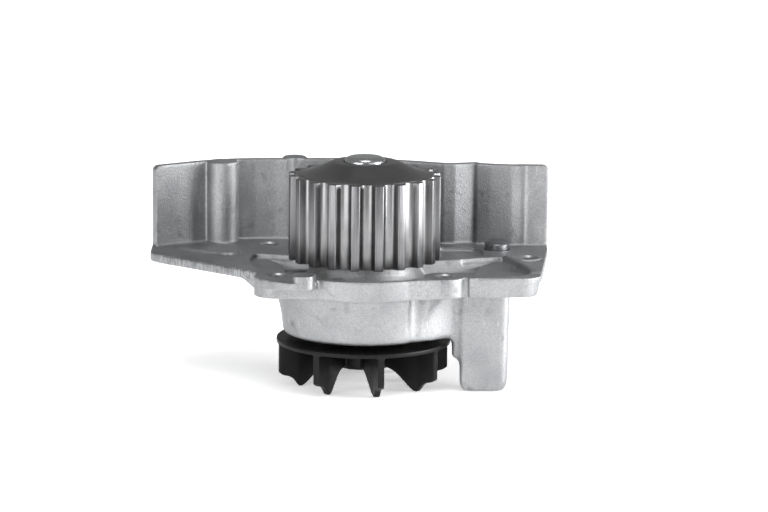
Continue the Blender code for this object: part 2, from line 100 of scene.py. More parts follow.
def slab(corners, bottom, top, draft=1.0, about=(0.0, 0.0)):
    """An upright form on a plan in millimetres. A corner (x, y, r) is rounded over r, and draft scales the
    form's bottom about a point."""
    bm = bmesh.new()
    verts = [bm.verts.new((c[0] * MM, c[1] * MM, top * MM)) for c in corners]
    bm.faces.new(verts)
    for vert, corner in zip(verts, corners):
        if len(corner) == 3:
            rounded(bm, [vert], corner[2], "VERTICES", 8)
    for vert in new_verts(bmesh.ops.extrude_face_region(bm, geom=bm.faces[:])):
        vert.co = Vector((about[0] * MM + (vert.co.x - about[0] * MM) * draft,
                          about[1] * MM + (vert.co.y - about[1] * MM) * draft, bottom * MM))
    bmesh.ops.recalc_face_normals(bm, faces=bm.faces)
    return bm


def bar(centre, radius, bottom, top, steps=96):
    """An upright round bar."""
    bm = bmesh.new()
    middle = (centre[0] * MM, centre[1] * MM, (bottom + top) / 2 * MM)
    bmesh.ops.create_cone(bm, cap_ends=True, segments=steps, radius1=radius * MM, radius2=radius * MM,
                          depth=(top - bottom) * MM, matrix=Matrix.Translation(middle))
    return bm


def turned(profile, steps=128, rounding=0.0, closed=True):
    """A round solid from its (radius, height) profile; rounding softens the profile's real corners."""
    bm = bmesh.new()
    bm.faces.new([bm.verts.new((r * MM, 0.0, z * MM)) for r, z in profile])
    if rounding:
        corners = [v for v in bm.verts if v.co.x > 1e-6 and abs(v.calc_edge_angle()) > math.radians(28)]
        rounded(bm, corners, rounding, "VERTICES", 4)
    bmesh.ops.delete(bm, geom=bm.faces[:], context="FACES_ONLY")
    if not closed:
        on_axis = [e for e in bm.edges if all(abs(v.co.x) < 1e-7 for v in e.verts)]
        bmesh.ops.delete(bm, geom=on_axis, context="EDGES")
    bmesh.ops.spin(bm, geom=bm.verts[:] + bm.edges[:], cent=(0, 0, 0), axis=(0, 0, 1), angle=TURN,
                   steps=steps, use_merge=True)
    bmesh.ops.remove_doubles(bm, verts=bm.verts, dist=1e-7)
    bmesh.ops.recalc_face_normals(bm, faces=bm.faces)
    return bm


def shown(name, bm, finish):
    """A new object of the scene from a finished bmesh, with soft shading and crisp real edges."""
    mesh = bpy.data.meshes.new(name)
    bm.to_mesh(mesh)
    bm.free()
    mesh.materials.append(finish)
    piece = bpy.data.objects.new(name, mesh)
    bpy.context.scene.collection.objects.link(piece)
    crisp(piece)
    return piece


def crisp(piece, angle=32.0):
    piece.data.shade_smooth()
    piece.data.set_sharp_from_angle(angle=math.radians(angle))


def settle(piece):
    """Makes the piece's modifiers part of its mesh."""
    graph = bpy.context.evaluated_depsgraph_get()
    mesh = bpy.data.meshes.new_from_object(piece.evaluated_get(graph))
    piece.modifiers.clear()
    piece.data = mesh


def work(piece, bm, operation, finish=None):
    """Joins a tool's shape to the piece (UNION) or cuts it away (DIFFERENCE), then drops the tool. The faces
    that it leaves take the tool's finish, where one is given."""
    tool = shown("tool", bm, finish or piece.data.materials[0])
    modifier = piece.modifiers.new("tool", "BOOLEAN")
    modifier.operation = operation
    modifier.solver = "EXACT"
    modifier.object = tool
    if finish:
        modifier.material_mode = "TRANSFER"
    settle(piece)
    bpy.data.objects.remove(tool, do_unlink=True)


def tools(*parts):
    """Several tools that don't touch, as one."""
    whole = bmesh.new()
    for part in parts:
        mesh = bpy.data.meshes.new("tools")
        part.to_mesh(mesh)
        part.free()
        whole.from_mesh(mesh)
        bpy.data.meshes.remove(mesh)
    return whole


def shape_of(piece):
    """The piece's mesh as a new bmesh."""
    bm = bmesh.new()
    bm.from_mesh(piece.data)
    return bm


def cast_skin(piece, voxel, passes, triangles):
    """Gives a piece the soft corners and fillets of a casting or moulding."""
    skin = piece.modifiers.new("skin", "REMESH")
    skin.mode = "VOXEL"
    skin.voxel_size = voxel * MM
    soften = piece.modifiers.new("soften", "SMOOTH")
    soften.factor = 0.5
    soften.iterations = passes
    settle(piece)
    count = 2 * len(piece.data.polygons)
    if count > triangles:
        thin = piece.modifiers.new("thin", "DECIMATE")
        thin.ratio = triangles / count
        settle(piece)


def belongs(piece, body, slot, *nodes):
    """The piece rides on its body and stands for its CAD nodes; slot is not used."""
    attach(piece, body)
    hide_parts(*nodes)
    return piece


def add_node(tree, kind, inputs=None, **settings):
    """One node of a finish: its settings, and its sockets by name or number, each a value or an output."""
    made = tree.nodes.new(kind)
    for key, value in settings.items():
        setattr(made, key, value)
    for key, value in (inputs or {}).items():
        if isinstance(value, bpy.types.NodeSocket):
            tree.links.new(value, made.inputs[key])
        else:
            made.inputs[key].default_value = value
    return made


def start_finish(name, colour, roughness, metallic):
    """A new Principled finish with its object coordinates: (material, tree, shader, coordinates)."""
    material = bpy.data.materials.new(name)
    material.use_nodes = True
    tree = material.node_tree
    shader = tree.nodes["Principled BSDF"]
    shader.inputs["Base Color"].default_value = linear(colour)
    shader.inputs["Roughness"].default_value = roughness
    shader.inputs["Metallic"].default_value = metallic
    return material, tree, shader, add_node(tree, "ShaderNodeTexCoord").outputs["Object"]


def grained_finish(name, colour, roughness, metallic, grain_mm, tones, stretch=None, bump=None, **noise):
    """A finish with one grain: a noise of a real size that mixes two tones and, given a bump of (strength,
    depth in mm), stands up from the surface. stretch draws the grain out along a cutter's or a die's way.
    It returns (material, tree, shader, grain)."""
    material, tree, shader, place = start_finish(name, colour, roughness, metallic)
    if stretch:
        place = add_node(tree, "ShaderNodeMapping", {"Vector": place, "Scale": stretch}).outputs[0]
    grain = add_node(tree, "ShaderNodeTexNoise", {"Vector": place, "Scale": PER_MM / grain_mm, **noise})
    tone = add_node(tree, "ShaderNodeMix", {0: grain.outputs["Fac"], 6: linear(tones[0]),
                                            7: linear(tones[1])}, data_type="RGBA")
    tree.links.new(tone.outputs[2], shader.inputs["Base Color"])
    if bump:
        raised = add_node(tree, "ShaderNodeBump", {"Height": grain.outputs["Fac"], "Strength": bump[0],
                                                   "Distance": bump[1] * MM})
        tree.links.new(raised.outputs[0], shader.inputs["Normal"])
    return material, tree, shader, grain.outputs["Fac"]


# Die-cast aluminium skin: dull silver grey with a sandy grain (drawn coarser than the real one, so that it
# shows), faint clouds of oxide, dark smudges of handling, a few round pores and hairline scratches.
CAST_GRAIN_MM = 0.75
CAST_FINE_GRAIN_MM = 0.4
CAST_CLOUD_MM = 13.0
SMUDGE_MM = 7.0
PORE_SPACING_MM = 15.0
SCRATCH_MM = 0.5
cast_aluminium, tree, shader, place = start_finish("die_cast_aluminium", "#b9babc", 0.5, 1.0)
clouds = add_node(tree, "ShaderNodeTexNoise", {"Vector": place, "Scale": PER_MM / CAST_CLOUD_MM,
                                               "Detail": 4.0})
grain = add_node(tree, "ShaderNodeTexNoise", {"Vector": place, "Scale": PER_MM / CAST_GRAIN_MM,
                                              "Detail": 3.0, "Roughness": 0.7})
fine = add_node(tree, "ShaderNodeTexNoise", {"Vector": place, "Scale": PER_MM / CAST_FINE_GRAIN_MM,
                                             "Detail": 2.0})
cloud_share = add_node(tree, "ShaderNodeMapRange", {0: clouds.outputs["Fac"], 1: 0.3, 2: 0.7})
skin = add_node(tree, "ShaderNodeMix", {0: cloud_share.outputs[0], 6: linear("#98999b"),
                                        7: linear("#b0b1b2")}, data_type="RGBA")
grain_share = add_node(tree, "ShaderNodeMapRange", {0: grain.outputs["Fac"], 1: 0.3, 2: 0.7, 3: 0.0,
                                                    4: 0.5})
grained = add_node(tree, "ShaderNodeMix", {0: grain_share.outputs[0], 6: skin.outputs[2],
                                           7: linear("#77787a")}, data_type="RGBA")
pore_warp = add_node(tree, "ShaderNodeTexVoronoi", {"Vector": place, "Scale": PER_MM / PORE_SPACING_MM},
                     feature="F1")
pore_share = add_node(tree, "ShaderNodeMapRange", {0: pore_warp.outputs["Distance"], 1: 0.04, 2: 0.11,
                                                   3: 0.4, 4: 0.0})
pored = add_node(tree, "ShaderNodeMix", {0: pore_share.outputs[0], 6: grained.outputs[2],
                                         7: linear("#6a6b6d")}, data_type="RGBA")
scratch_lay = add_node(tree, "ShaderNodeMapping", {"Vector": place, "Rotation": (0.5, 0.9, 0.3),
                                                   "Scale": (1.0, 0.06, 0.06)})
scratches = add_node(tree, "ShaderNodeTexNoise", {"Vector": scratch_lay.outputs[0],
                                                  "Scale": PER_MM / SCRATCH_MM, "Detail": 1.0})
scratch_share = add_node(tree, "ShaderNodeMapRange", {0: scratches.outputs["Fac"], 1: 0.74, 2: 0.8, 3: 0.0,
                                                      4: 0.5})
scratched = add_node(tree, "ShaderNodeMix", {0: scratch_share.outputs[0], 6: pored.outputs[2],
                                             7: linear("#dcdddd")}, data_type="RGBA")
smudges = add_node(tree, "ShaderNodeTexNoise", {"Vector": place, "Scale": PER_MM / SMUDGE_MM, "Detail": 5.0,
                                                "Roughness": 0.6, "Distortion": 0.6})
smudge_share = add_node(tree, "ShaderNodeMapRange", {0: smudges.outputs["Fac"], 1: 0.58, 2: 0.74, 3: 0.0,
                                                     4: 0.5})
smudged = add_node(tree, "ShaderNodeMix", {0: smudge_share.outputs[0], 6: scratched.outputs[2],
                                           7: linear("#5f6062")}, data_type="RGBA")
tree.links.new(smudged.outputs[2], shader.inputs["Base Color"])
dullness = add_node(tree, "ShaderNodeMapRange", {0: clouds.outputs["Fac"], 1: 0.3, 2: 0.7, 3: 0.44,
                                                 4: 0.56})
tree.links.new(dullness.outputs[0], shader.inputs["Roughness"])
sand = add_node(tree, "ShaderNodeBump", {"Height": grain.outputs["Fac"], "Strength": 0.9,
                                         "Distance": 0.17 * MM})
pits = add_node(tree, "ShaderNodeBump", {"Height": fine.outputs["Fac"], "Strength": 0.8,
                                         "Distance": 0.1 * MM, "Normal": sand.outputs[0]})
tree.links.new(pits.outputs[0], shader.inputs["Normal"])

# Machined aluminium: smoother than the skin, darkened by cutting oil, with the fine rings of the cutter.
CUTTER_LINE_MM = 0.4
machined_aluminium = grained_finish("machined_aluminium", "#8f9092", 0.4, 1.0, CUTTER_LINE_MM,
                                    ("#8f9092", "#b6b7b8"), (0.05, 0.05, 1.0), (0.3, 0.03), Detail=2.0)[0]

# The deck with its left wing, the strip behind the bearing and the right side.
GUARD_PLAN = [(-82.6, 31.9), (-74.5, 37.6), (-66.5, 43.2), (-62.8, 45.4), (-56.0, 48.8), (-51.0, 50.4),
              (-44.0, 51.6), (-36.0, 52.2), (-31.5, 52.0), (-28.0, 52.2), (-20.0, 53.2), (-12.0, 53.6),
              (-4.0, 53.3), (5.0, 52.2), (13.0, 50.5), (20.0, 48.4), (26.0, 46.0), (31.5, 43.9),
              (36.0, 43.9), (40.0, 45.2), (43.6, 46.3), (44.8, 44.9), (50.0, 43.3), (58.5, 41.7),
              (62.6, 42.2), (63.8, 41.9), (65.0, 42.3), (73.2, 42.3)]


def guard_wall():
    """The belt guard: a strip swept up from its plan, then thickened, its two free top corners rounded."""
    bm = bmesh.new()
    line = [bm.verts.new((x * MM, y * MM, WING_BOTTOM * MM)) for x, y in GUARD_PLAN]
    edges = [bm.edges.new(pair) for pair in zip(line, line[1:])]
    raised = new_verts(bmesh.ops.extrude_edge_only(bm, edges=edges))
    bmesh.ops.translate(bm, verts=raised, vec=(0, 0, (GUARD_TOP - WING_BOTTOM) * MM))
    for face in bm.faces:
        face.normal_update()
    flipped = [face for face in bm.faces if face.normal.y > 0]
    bmesh.ops.reverse_faces(bm, faces=flipped)
    bmesh.ops.solidify(bm, geom=bm.faces[:], thickness=GUARD_WALL * MM)
    bmesh.ops.recalc_face_normals(bm, faces=bm.faces)
    ends = (GUARD_PLAN[0][0] + 2.5, GUARD_PLAN[-1][0] - 1.0)
    corners = [e for e in bm.edges if all(v.co.z > (GUARD_TOP - 0.1) * MM for v in e.verts)
               and (all(v.co.x < ends[0] * MM for v in e.verts)
                    or all(v.co.x > ends[1] * MM for v in e.verts))
               and 2 * MM < e.calc_length() < 5 * MM]
    rounded(bm, corners, GUARD_CORNER, "EDGES", 6)
    return bm


def guard_back(distance=GUARD_WALL):
    """Plan of the guard's outer face, which is also the deck's rear edge."""
    line = [Vector(point) for point in GUARD_PLAN]
    moved = []
    for i, point in enumerate(line):
        along = (line[min(i + 1, len(line) - 1)] - line[max(i - 1, 0)]).normalized()
        moved.append((point.x - along.y * distance, point.y + along.x * distance))
    return moved


wing = [(-42.0, -17.2), (-30.0, -20.0), (65.0, -22.0, 3.0), (68.3, -15.0), (69.5, -4.8), (73.2, 38.0)]
wing += [tuple(point) for point in reversed(guard_back())]
wing += [(-84.6, 29.0), (-84.6, 20.6, 3.0), (-80.6, 16.0)]
housing = shown("housing_casting", slab(wing, WING_BOTTOM, DECK_TOP), cast_aluminium)

# The thick flange: its left lug, the central arc, the right bolt boss, a notch and the outer lobe.
left, right = BOLT_HOLES["front_left"], BOLT_HOLES["front_right"]
flange = [(-41.5, -17.0)] + arc((left[0] - 0.4, left[1]), 9.2, 190, 262) + arc((0, 0), 38.4, 240, 296, 30)
flange += arc(right, 8.2, 262, 318, 10) + [(38.2, -26.0, 0.8), (39.6, -26.0, 0.6)]
flange += [(58.4, -25.8), (60.0, 10.0), (56.0, 22.0), (30.0, 24.0), (-24.0, 30.0), (-40.0, 22.0)]
work(housing, slab(flange, GASKET_FACE - MACHINING_ALLOWANCE, DECK_TOP), "UNION")
lobe = [(39.9, -27.6, 0.9)] + arc((60.4, -19.3), 7.8, 262, 358, 20) + [(69.0, 16.0), (40.0, 16.0)]
work(housing, slab(lobe, GASKET_FACE - MACHINING_ALLOWANCE, DECK_TOP, 0.935, (42.0, -20.0)), "UNION")

# The seal cup, with the valley beside its drain bulge, then the drain leg with its web and toe. The die gives
# them wider fillets than the deck's, so they are softened on their own first.
cup = [(0, SHELF), (36.8, SHELF), (35.6, -49.0), (34.6, -52.0), (33.5, -56.0), (32.5, -60.0), (31.9, -64.0),
       (31.5, CUP_BOTTOM), (0, CUP_BOTTOM)]
lower = shown("cup_and_leg", turned(cup, 160, closed=False), cast_aluminium)
work(lower, slab([(16.0, -10.0), (21.4, -23.0), (27.4, -19.6, 3.0), (34.0, -13.4), (40.0, -12.8),
                  (40.0, -3.5), (16.0, -3.5)], CUP_BOTTOM, SHELF), "UNION")
work(lower, bar((21.6, -27.4), 4.2, CUP_BOTTOM - 1, SHELF + 1), "DIFFERENCE")
work(lower, slab([(34.0, -13.0), (40.0, -12.6), (40.0, -5.0), (34.6, -5.0)], WEB_BOTTOM, SHELF), "UNION")
leg = [(36.2, -15.3, 3.4), (56.6, -15.3, 3.4), (56.6, -2.4, 3.4), (39.4, -2.4, 3.4)]
work(lower, slab(leg, FOOT + 2.6, SHELF, 0.957, (40.0, -8.0)), "UNION")
leg_end = [(36.4, -14.9, 3.2), (55.9, -14.9, 3.2), (55.9, -2.6, 3.2), (39.4, -2.6, 3.2)]
work(lower, slab(leg_end, FOOT, FOOT + 2.8, 0.86, (46.2, -8.8)), "UNION")
cast_skin(lower, LOWER_SKIN_VOXEL, 26, LOWER_TRIANGLES)
work(housing, shape_of(lower), "UNION")
bpy.data.objects.remove(lower, do_unlink=True)

# The belt guard with its bolt column, and the little boss on its back.
work(housing, guard_wall(), "UNION")
work(housing, bar((-57.0, 46.2), 6.2, WING_BOTTOM, GUARD_TOP), "UNION")
work(housing, bar((-28.4, 56.5), 4.6, WING_BOTTOM, GUARD_TOP + 0.6), "UNION")

# The gusset that carries the left wing into the flange's side.
gusset = [(-48.6, -11.4), (-41.6, -17.2), (-38.0, -17.2), (-38.0, 19.0), (-48.6, 19.0)]
work(housing, slab(gusset, GASKET_FACE, WING_BOTTOM + 1.2, 0.38, (-38.0, -17.2)), "UNION")

# Pockets that the die leaves in the deck: two shelves, a rear pocket and the deep recess round the bearing.
left_shelf = [(-28.0, 16.4), (-43.4, 19.7, 2.2), (-44.8, 9.0, 3.0), (-43.8, -1.0, 2.0), (-40.6, -12.2, 2.0),
              (-36.8, -16.4, 1.5), (-28.0, -12.0)]
work(housing, slab(left_shelf, SHELF, DECK_TOP + 1), "DIFFERENCE")
right_shelf = [(38.0, 11.9), (38.0, -14.0), (44.0, -21.8, 2.5), (61.0, -21.6, 3.0), (64.6, -14.5, 3.0),
               (61.0, 0.6), (58.0, 10.2), (54.9, 17.9, 1.6)]
work(housing, slab(right_shelf, SHELF, DECK_TOP + 1, 0.97, (45.0, 2.0)), "DIFFERENCE")
work(housing, slab([(30.0, 36.5), (44.0, 36.5, 2.0), (47.0, 30.0, 2.0), (47.0, 20.0), (30.0, 16.0)],
                   REAR_POCKET_FLOOR, DECK_TOP + 1), "DIFFERENCE")
recess = [(-42.5, 19.5), (-37.4, 17.4, 1.5), (-34.6, 11.6, 1.5), (-32.6, 4.0), (-31.4, -3.0),
          (-30.5, -10.5)]
recess += arc(left, 7.6, 76, -4) + arc((0, 0), 35.6, 225, 313, 36) + arc(right, 7.6, 202, 76)
recess += [(42.0, -16.0), (43.8, -9.4), (45.3, 1.4), (46.9, 9.0), (49.3, 13.4), (52.6, 16.6), (41.5, 12.9),
           (28.2, 8.3), (15.0, 4.0), (-12.0, 12.0), (-29.8, 16.7)]
work(housing, slab(recess, RECESS_FLOOR, DECK_TOP + 1, 0.94, (2.0, -30.0)), "DIFFERENCE")

ridge = [(54.6, 17.6, 1.0), (58.4, 17.0, 1.0), (62.4, 5.4), (65.0, -4.0), (67.4, -12.0), (67.6, -18.0, 1.5),
         (64.0, -18.0), (63.6, -11.0), (61.6, -3.0), (58.6, 6.2)]
work(housing, slab(ridge, SHELF, DECK_TOP + 0.9), "UNION")

# What stands in the pockets: the bearing boss, the cast block on the flange's edge and the raised pads.
boss = [(0, -52.0), (25.0, -52.0), (24.4, RECESS_FLOOR), (22.6, -46.2), (21.2, -43.6), (20.4, -40.0),
        (19.9, -34.0), (19.5, BOSS_TOP + MACHINING_ALLOWANCE), (0, BOSS_TOP + MACHINING_ALLOWANCE)]
work(housing, turned(boss, closed=False), "UNION")
ledge = [(-41.2, -20.0), (-41.0, -29.0, 1.5), (-39.4, -33.0, 1.5), (-33.4, -38.0), (-27.0, -41.8, 1.5),
         (-20.6, -41.8, 1.5), (-18.0, -36.5), (-17.0, -28.0)]
work(housing, slab(ledge, SHELF - 1.1, DECK_TOP), "UNION")
block = [(-27.0, -32.6, 1.5), (-27.2, -41.6, 2.6), (-19.4, -41.6, 2.6), (-18.0, -32.6, 1.5)]
work(housing, slab(block, SHELF - 1.1, DECK_TOP + 2.7), "UNION")
work(housing, bar(BOLT_HOLES["rear_left"], 6.0, GASKET_FACE, SHELF), "UNION")
work(housing, bar(BOLT_HOLES["rear_right"], 5.6, GASKET_FACE, RAISED_SEAT + MACHINING_ALLOWANCE), "UNION")
work(housing, bar((-10.6, -32.2), 4.2, RECESS_FLOOR, DECK_TOP - 0.1), "UNION")
work(housing, bar((-53.5, 20.2), 5.2, SHELF, DECK_TOP + 1.3), "UNION")
work(housing, slab([(-74.2, 33.6, 1.0), (-73.0, 26.2, 1.0), (-58.6, 17.2, 1.0), (-54.0, 24.0),
                    (-62.5, 38.0, 1.0)],
                   SHELF, DECK_TOP + 0.9), "UNION")
cast_skin(housing, CAST_SKIN_VOXEL, 5, CAST_TRIANGLES)


# Machining: the bearing and seal bores, the drain, the bolt holes with their chamfers, and the flat faces.
def hole(centre, radius, bottom, top, seat, chamfer=0.7):
    """A drilled hole from bottom to top, with a chamfer where it meets the seat's height."""
    cutter = turned([(0, bottom), (radius, bottom), (radius, seat - chamfer), (radius + chamfer, seat),
                     (radius + chamfer, top), (0, top)], 48, closed=False)
    bmesh.ops.translate(cutter, verts=cutter.verts, vec=(centre[0] * MM, centre[1] * MM, 0))
    return cutter


def facing(centre, radius, height):
    """A flat cut round one centre, upwards from a height."""
    return bar(centre, radius, height, height + 1.2, steps=64)


work(housing, tools(facing((0, 0), 21.5, BOSS_TOP), facing(BOLT_HOLES["rear_right"], 6.4, RAISED_SEAT)),
     "DIFFERENCE", machined_aluminium)
bores = turned([(0, BOSS_TOP + 2), (15.9, BOSS_TOP + 2), (15.9, BOSS_TOP), (15.3, BOSS_TOP - 0.6),
                (15.3, -55.3), (13.2, -55.3), (13.2, -57.9), (18.3, -57.9), (18.3, SEAL_SEAT),
                (20.9, SEAL_SEAT), (20.9, -71.0), (0, -71.0)], 96, closed=False)
work(housing, bores, "DIFFERENCE", machined_aluminium)
core = turned([(22.6, -59.0), (27.6, -59.0), (27.2, -71.0), (22.6, -71.0)], 96, 0.6)
work(housing, core, "DIFFERENCE")
seats = {"front_left": DECK_TOP, "front_right": DECK_TOP, "rear_left": DECK_TOP, "rear_right": RAISED_SEAT}
for name, centre in BOLT_HOLES.items():
    work(housing, hole(centre, BOLT_HOLE_R, GASKET_FACE - 1, DECK_TOP + 3, seats[name]), "DIFFERENCE",
         machined_aluminium)
work(housing, hole(PLUG_AT, PLUG_R + 0.15, WING_BOTTOM - 1, DECK_TOP + 1, DECK_TOP, 0.4), "DIFFERENCE",
     machined_aluminium)
DRAIN_R = 1.75
drain = bmesh.new()
bmesh.ops.create_cone(drain, cap_ends=True, segments=32, radius1=DRAIN_R * MM, radius2=DRAIN_R * MM,
                      depth=17 * MM, matrix=Matrix.Rotation(math.radians(-30), 4, "Z")
                      @ Matrix.Translation((18.5 * MM, -8.0 * MM, -52.0 * MM))
                      @ Matrix.Rotation(math.radians(-40), 4, "Y"))
work(housing, drain, "DIFFERENCE", machined_aluminium)
mill = shown("gasket_mill", slab([(-46.0, -36.0), (70.0, -42.0), (74.0, 40.0), (-46.0, 50.0)],
                                 GASKET_FACE - 1.2, GASKET_FACE), machined_aluminium)
work(mill, bar((0, 0), 35.2, GASKET_FACE - 3, GASKET_FACE + 1), "DIFFERENCE")
work(mill, slab([(20.0, -17.0), (58.0, -17.0), (58.0, -0.5), (20.0, -0.5)], GASKET_FACE - 3,
                GASKET_FACE + 1), "DIFFERENCE")
work(housing, shape_of(mill), "DIFFERENCE", machined_aluminium)
bpy.data.objects.remove(mill, do_unlink=True)
crisp(housing)

# Trimmed flash on the wing's front edge: the press shears it off and leaves bright upright streaks. They
# are drawn coarser than real ones, so that they show.
STREAK_MM = 0.6
sheared_edge, tree, shader, place = start_finish("sheared_aluminium_edge", "#a8a9ab", 0.38, 1.0)
streak_lay = add_node(tree, "ShaderNodeMapping", {"Vector": place, "Scale": (1.0, 1.0, 0.16)})
streaks = add_node(tree, "ShaderNodeTexNoise", {"Vector": streak_lay.outputs[0],
                                                "Scale": PER_MM / STREAK_MM, "Detail": 3.0,
                                                "Roughness": 0.7})
streak_share = add_node(tree, "ShaderNodeMapRange", {0: streaks.outputs["Fac"], 1: 0.4, 2: 0.62})
streaked = add_node(tree, "ShaderNodeMix", {0: streak_share.outputs[0], 6: linear("#77787a"),
                                            7: linear("#a9aaac")}, data_type="RGBA")
tree.links.new(streaked.outputs[2], shader.inputs["Base Color"])
streak_bump = add_node(tree, "ShaderNodeBump", {"Height": streaks.outputs["Fac"], "Strength": 0.6,
                                                "Distance": 0.12 * MM})
tree.links.new(streak_bump.outputs[0], shader.inputs["Normal"])
housing.data.materials.append(sheared_edge)
trim_from, trim_to = Vector((-80.6, 16.0)) * MM, Vector((-42.0, -17.2)) * MM
trim_out = Vector((trim_to.y - trim_from.y, trim_from.x - trim_to.x)).normalized()
for face in housing.data.polygons:
    offset = face.center.xy - trim_from
    if (abs(offset.dot(trim_out)) < 0.7 * MM and face.normal.xy.dot(trim_out) > 0.8
            and 0 < offset.dot((trim_to - trim_from).normalized()) < (trim_to - trim_from).length):
        face.material_index = len(housing.data.materials) - 1
belongs(housing, "pump_body", "cast_aluminium", "housing")


# ---------------------------------------------------------------------------------------------------------
# Gallery plug. A pressed steel core plug, driven into the deck and standing a little proud of it; turned
# top with a soft edge, and zinc-grey sides.
# ---------------------------------------------------------------------------------------------------------
TURNING_LINE_MM = 0.3
plug_steel = grained_finish("turned_plug_steel", "#8d8f92", 0.3, 1.0, TURNING_LINE_MM,
                            ("#77797c", "#a2a4a6"), (0.08, 0.08, 1.0), (0.3, 0.02), Detail=2.0)[0]
PLUG_TOP = DECK_TOP + 2.7
plug_profile = [(0, WING_BOTTOM), (3.4, WING_BOTTOM), (3.4, WING_BOTTOM + 1.2), (4.6, WING_BOTTOM + 1.2),
                (PLUG_R, WING_BOTTOM + 1.8), (PLUG_R, PLUG_TOP - 0.5), (4.6, PLUG_TOP - 0.12),
                (4.2, PLUG_TOP), (0, PLUG_TOP)]
plug_bm = turned(plug_profile, 96, closed=False)
bmesh.ops.translate(plug_bm, verts=plug_bm.verts, vec=(PLUG_AT[0] * MM, PLUG_AT[1] * MM, 0))
belongs(shown("core_plug", plug_bm, plug_steel), "pump_body", "ground_steel", "gallery_plug")


# ---------------------------------------------------------------------------------------------------------
# Bearing. The integral water-pump bearing: an outer ring ground all over, two rows of balls that run
# straight on the shaft, snap-in cages, and a lipped rubber seal clipped in at each end.
# ---------------------------------------------------------------------------------------------------------
SHAFT_R = 8.0
BALL_R = 3.0
BALL_PITCH_R = 10.25
RACE_R = 3.15
BALL_ROWS = {"upper": -26.0, "lower": -45.0}
BALLS_PER_ROW = 8
BEARING_BORE = 12.6
GRINDING_LINE_MM = 0.25
ground_steel, tree, shader, grinding = grained_finish("ground_bearing_steel", "#b3b5b8", 0.2, 1.0,
                                                      GRINDING_LINE_MM, ("#96989b", "#c6c8ca"),
                                                      (0.04, 0.04, 1.0), Detail=3.0)
grinding_gloss = add_node(tree, "ShaderNodeMapRange", {0: grinding, 1: 0.3, 2: 0.7, 3: 0.16, 4: 0.3})
tree.links.new(grinding_gloss.outputs[0], shader.inputs["Roughness"])


def race(z, side):
    """The groove that one ball row runs in: side is +1 in the outer ring and -1 in the shaft."""
    reach = (BEARING_BORE - BALL_PITCH_R) if side > 0 else (BALL_PITCH_R - SHAFT_R)
    half = math.degrees(math.acos(reach / RACE_R))
    middle = 0 if side > 0 else 180
    return arc((BALL_PITCH_R, z), RACE_R, middle - half, middle + half, 10)


ring = [(13.3, -55.0), (13.3, -54.5), (12.95, -54.4), (12.95, -53.1), (BEARING_BORE, -52.9)]
ring += race(BALL_ROWS["lower"], 1) + race(BALL_ROWS["upper"], 1)
ring += [(BEARING_BORE, -18.1), (12.95, -17.9), (12.95, -16.6), (13.3, -16.5), (13.3, -16.0), (14.4, -16.0),
         (15.0, -16.7), (15.0, -54.3), (14.4, -55.0)]
belongs(shown("bearing_ring_ground", turned(ring), ground_steel), "pump_body", "ground_steel",
        "bearing_outer_ring")

# Nitrile rubber: near black, matt, with the faint orange peel of its mould.
RUBBER_PEEL_MM = 0.6
nitrile_rubber = grained_finish("moulded_nitrile_rubber", "#1c1c1d", 0.68, 0.0, RUBBER_PEEL_MM,
                                ("#131314", "#29292a"), bump=(0.3, 0.05), Detail=3.0)[0]
for name, bottom, outward in (("upper", -17.9, 1), ("lower", -54.4, -1)):
    middle = bottom + 0.65
    lip = [(8.3, middle - 0.12 * outward), (8.7, middle - 0.6), (9.4, middle - 0.6), (9.7, middle - 0.35),
           (12.2, middle - 0.35), (12.5, middle - 0.62), (12.85, middle - 0.62), (12.85, middle + 0.62),
           (12.4, middle + 0.62), (12.2, middle + 0.4), (9.7, middle + 0.4), (9.4, middle + 0.6),
           (8.7, middle + 0.6)]
    belongs(shown(f"bearing_lip_seal_{name}", turned(lip), nitrile_rubber), "pump_body", "black_rubber",
            f"bearing_seal_{name}")

# Glass-filled polyamide cages: amber, satin, with a slight flow pattern; polished balls of bearing steel.
CAGE_FLOW_MM = 2.5
polyamide = grained_finish("moulded_amber_polyamide", "#a3854f", 0.45, 0.0, CAGE_FLOW_MM,
                           ("#8c6f3d", "#b8995f"), bump=(0.2, 0.04), Detail=4.0, Distortion=1.5)[0]
for row, z in BALL_ROWS.items():
    turns = [TURN * i / BALLS_PER_ROW for i in range(BALLS_PER_ROW)]
    centres = [Vector((math.cos(turn), math.sin(turn), 0)) * BALL_PITCH_R + Vector((0, 0, z)) for turn in turns]
    cage = shown(f"snap_cage_{row}", turned([(9.2, z - 4.2), (11.5, z - 4.2), (11.5, z + 1.4),
                                             (9.2, z + 1.4)], 96, 0.35), polyamide)
    pockets = []
    for centre in centres:
        pocket = bmesh.new()
        bmesh.ops.create_uvsphere(pocket, u_segments=32, v_segments=20, radius=(BALL_R + 0.18) * MM,
                                  matrix=Matrix.Translation(centre * MM))
        pockets.append(pocket)
    work(cage, tools(*pockets), "DIFFERENCE")
    crisp(cage)
    belongs(cage, f"ball_train_{row}", "cage_polyamide", f"ball_cage_{row}")
    for i, centre in enumerate(centres, 1):
        ball = bmesh.new()
        bmesh.ops.create_uvsphere(ball, u_segments=40, v_segments=24, radius=BALL_R * MM,
                                  matrix=Matrix.Translation(centre * MM))
        belongs(shown(f"polished_ball_{row}_{i}", ball, ground_steel), f"ball_train_{row}", "ground_steel",
                f"ball_{row}_{i}")


